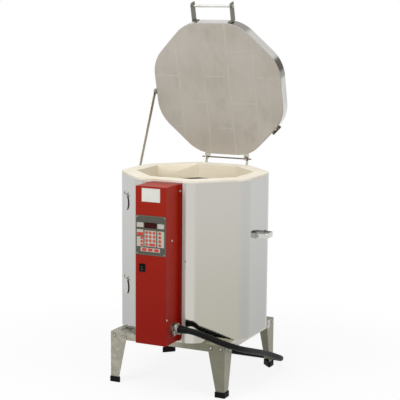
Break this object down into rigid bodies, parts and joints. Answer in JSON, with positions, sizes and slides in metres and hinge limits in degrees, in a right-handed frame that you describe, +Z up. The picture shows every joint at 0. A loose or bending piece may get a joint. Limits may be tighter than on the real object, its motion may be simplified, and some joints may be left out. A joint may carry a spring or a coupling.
{
  "type": "electric ceramic kiln",
  "caption": "Octagonal top-loading firebrick kiln in a steel jacket on an angle-leg stand, with a propped hinged lid and a red control box on the front",
  "frame": {"origin": "floor level under the middle of the kiln's outline, cord left out", "axes": "+Z up, +Y to the back (hinge side), -Y to the front (control box), +X to the kiln's right as seen from the front"},
  "size_m": [0.7231, 1.0083, 1.5359],
  "materials": {
    "galvanised": "satin",
    "zinc": "satin",
    "foot_rubber": "matte",
    "stainless": "polished",
    "bright_steel": "satin",
    "firebrick": "matte",
    "cement_board": "matte",
    "element_wire": "matte",
    "porcelain": "satin",
    "red_enamel": "gloss",
    "panel_print": "satin",
    "cream_print": "satin",
    "key_print": "satin",
    "display": "gloss",
    "board": "satin",
    "black_plastic": "satin",
    "coil_iron": "matte",
    "cord_rubber": "matte"
  },
  "bodies": {
    "kiln body": {"blank_label": "cream_print", "box_back": "red_enamel", "box_cover": "red_enamel", "box_screws": "zinc", "box_standoffs": "zinc", "controller_board": "board", "cord_gland": "black_plastic", "corner_gussets": "galvanised", "display_window": "display", "element_tails": "zinc", "floor_board": "cement_board", "floor_pan": "galvanised", "floor_slab": "firebrick", "foot_caps": "foot_rubber", "gland_screws": "zinc", "heating_elements": "element_wire", "hinge_body_brackets": "bright_steel", "hinge_rod": "bright_steel", "hinge_washers": "zinc", "jacket": "stainless", "jacket_screws": "zinc", "keypad_fields": "cream_print", "keypad_keys": "key_print", "keypad_panel": "panel_print", "panel_screws": "zinc", "peephole_leaves": "stainless", "peephole_pins": "bright_steel", "peephole_screws": "zinc", "power_cord": "cord_rubber", "power_plug": "black_plastic", "prop_rest": "zinc", "relays": "black_plastic", "side_handle_left": "bright_steel", "side_handle_right": "bright_steel", "stand_legs": "galvanised", "stand_rails": "galvanised", "stand_screws": "zinc", "switch_body": "black_plastic", "tail_insulators": "porcelain", "terminal_block": "black_plastic", "thermocouple": "porcelain", "thermocouple_block": "porcelain", "transformer": "coil_iron", "wall_course_1": "firebrick", "wall_course_2": "firebrick", "wall_course_3": "firebrick", "wall_course_4": "firebrick", "wall_course_5": "firebrick"},
    "lid": {"lid_bricks": "firebrick", "lid_band": "stainless", "band_clamp": "stainless", "hinge_lid_brackets": "bright_steel", "grip_plates": "bright_steel", "grip_rod": "bright_steel", "prop_bracket": "bright_steel", "prop_bolt": "zinc"},
    "prop arm": {"prop_arm": "bright_steel"},
    "upper peephole cover": {"peephole_cover_upper": "stainless"},
    "lower peephole cover": {"peephole_cover_lower": "stainless"},
    "power switch rocker": {"switch_rocker": "black_plastic"}
  },
  "joints": [
    {"name": "lid hinge", "type": "hinge", "parent": "kiln body", "child": "lid", "pos_m": [0, 0.332, 0.873], "axis": [1, 0, 0], "range_deg": [0, 74.8]},
    {"name": "prop arm pivot", "type": "hinge", "parent": "lid", "child": "prop arm", "pos_m": [-0.3, 0.2443, 1.15383], "axis": [1, 0, 0], "range_deg": [-24, 45]},
    {"name": "upper peephole hinge", "type": "hinge", "parent": "kiln body", "child": "upper peephole cover", "pos_m": [-0.22224, -0.16406, 0.762], "axis": [-0.7071, 0.7071, 0], "range_deg": [0, 160]},
    {"name": "lower peephole hinge", "type": "hinge", "parent": "kiln body", "child": "lower peephole cover", "pos_m": [-0.22224, -0.16406, 0.417], "axis": [-0.7071, 0.7071, 0], "range_deg": [0, 160]},
    {"name": "power switch pivot", "type": "hinge", "parent": "kiln body", "child": "power switch rocker", "pos_m": [-0.037, -0.368, 0.5208], "axis": [-1, 0, 0], "range_deg": [0, 16]}
  ]
}
